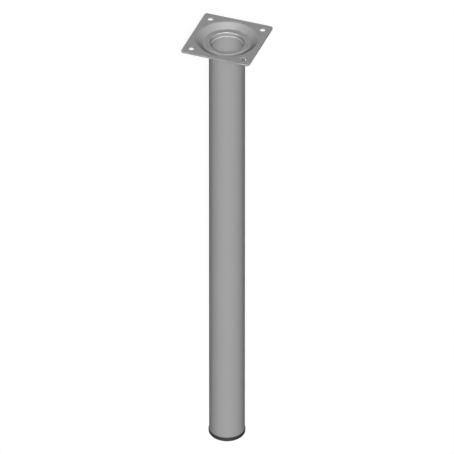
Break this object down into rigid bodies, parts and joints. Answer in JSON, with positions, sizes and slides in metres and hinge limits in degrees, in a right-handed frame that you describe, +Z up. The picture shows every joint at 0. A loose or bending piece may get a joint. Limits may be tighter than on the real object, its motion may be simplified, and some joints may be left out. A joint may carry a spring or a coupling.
{
  "type": "furniture leg",
  "caption": "Straight round tube furniture leg with a square dished screw-on plate at the top and a black plastic glide in its foot.",
  "frame": {"origin": "centre of the glide's base, on the floor", "axes": "+Z up the leg's axis to the plate, X and Y along the plate's sides"},
  "size_m": [0.06, 0.06, 0.4],
  "materials": {
    "coated_steel": "satin grey powder coat",
    "black_plastic": "fine matt moulded surface"
  },
  "bodies": {
    "root": {"mounting_plate": "coated_steel", "leg_tube": "coated_steel", "foot_glide": "black_plastic"}
  },
  "joints": []
}
